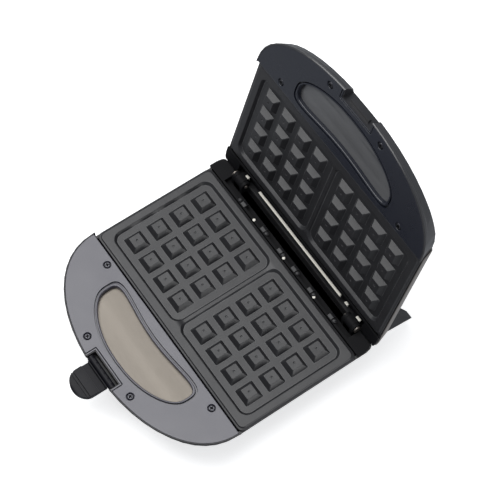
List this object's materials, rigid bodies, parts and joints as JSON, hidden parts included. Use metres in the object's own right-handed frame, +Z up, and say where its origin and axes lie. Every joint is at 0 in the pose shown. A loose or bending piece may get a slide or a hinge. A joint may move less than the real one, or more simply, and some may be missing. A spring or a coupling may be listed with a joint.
{
  "type": "waffle maker",
  "caption": "Hinged double Belgian waffle maker, open, with recessed pyramid plates, D-shaped handle ends, window inserts and a flip latch.",
  "frame": {"origin": "on the worktop under the middle of the open object's outline, 3.8 mm towards the handle from the plate centre", "axes": "+X along the hinge to the right as seen from the handle, +Y from the handle towards the hinge, +Z up"},
  "size_m": [0.2328, 0.3144, 0.2472],
  "materials": {
    "casing_plastic": "satin black moulded plastic",
    "panel_plastic": "satin dark grey lacquered plastic",
    "plate_coating": "dark non-stick coating",
    "insert_steel": "brushed, warm tint",
    "hood_steel": "brushed",
    "bracket_plastic": "black",
    "heater_sheath": "dull",
    "reflector_aluminium": "plain",
    "screw_steel": "dark zinc",
    "bright_steel": "bright zinc",
    "foot_rubber": "matt",
    "terminal_ceramic": "matt ivory",
    "lens_red": "clear red",
    "latch_plastic": "satin black"
  },
  "bodies": {
    "base": {"base_casing": "casing_plastic", "base_cooking_plate": "plate_coating", "base_handle_insert": "insert_steel", "base_handle_panel": "panel_plastic", "base_heater": "heater_sheath", "base_hinge_bracket": "bracket_plastic", "base_panel_screw_1": "screw_steel", "base_panel_screw_2": "screw_steel", "base_panel_screw_3": "screw_steel", "base_panel_screw_4": "screw_steel", "base_reflector": "reflector_aluminium", "bracket_rivet_1": "bright_steel", "bracket_rivet_2": "bright_steel", "bracket_rivet_3": "bright_steel", "cord_gland": "bracket_plastic", "foot_1": "foot_rubber", "foot_2": "foot_rubber", "foot_3": "foot_rubber", "foot_4": "foot_rubber", "hinge_pin_left": "bright_steel", "hinge_pin_right": "bright_steel", "latch_pin": "bright_steel", "terminal_block": "terminal_ceramic", "thermal_fuse": "bright_steel", "thermostat": "bright_steel"},
    "lid": {"indicator_lens_left": "lens_red", "indicator_lens_right": "lens_red", "lid_casing": "casing_plastic", "lid_cooking_plate": "plate_coating", "lid_edge_strip": "bright_steel", "lid_handle_insert": "insert_steel", "lid_handle_panel": "panel_plastic", "lid_heater": "heater_sheath", "lid_hinge_bracket": "bracket_plastic", "lid_panel_screw_1": "screw_steel", "lid_panel_screw_2": "screw_steel", "lid_panel_screw_3": "screw_steel", "lid_panel_screw_4": "screw_steel", "lid_reflector": "reflector_aluminium", "lid_skin": "hood_steel", "storage_foot_left": "bracket_plastic", "storage_foot_right": "bracket_plastic"},
    "latch": {"latch": "latch_plastic"}
  },
  "joints": [
    {"name": "lid_hinge", "type": "hinge", "parent": "base", "child": "lid", "pos_m": [0, 0.0793, 0.043], "axis": [1, 0, 0], "range_deg": [0, 104]},
    {"name": "latch_pivot", "type": "hinge", "parent": "base", "child": "latch", "pos_m": [0, -0.1272, 0.0375], "axis": [-1, 0, 0], "range_deg": [0, 90]}
  ]
}
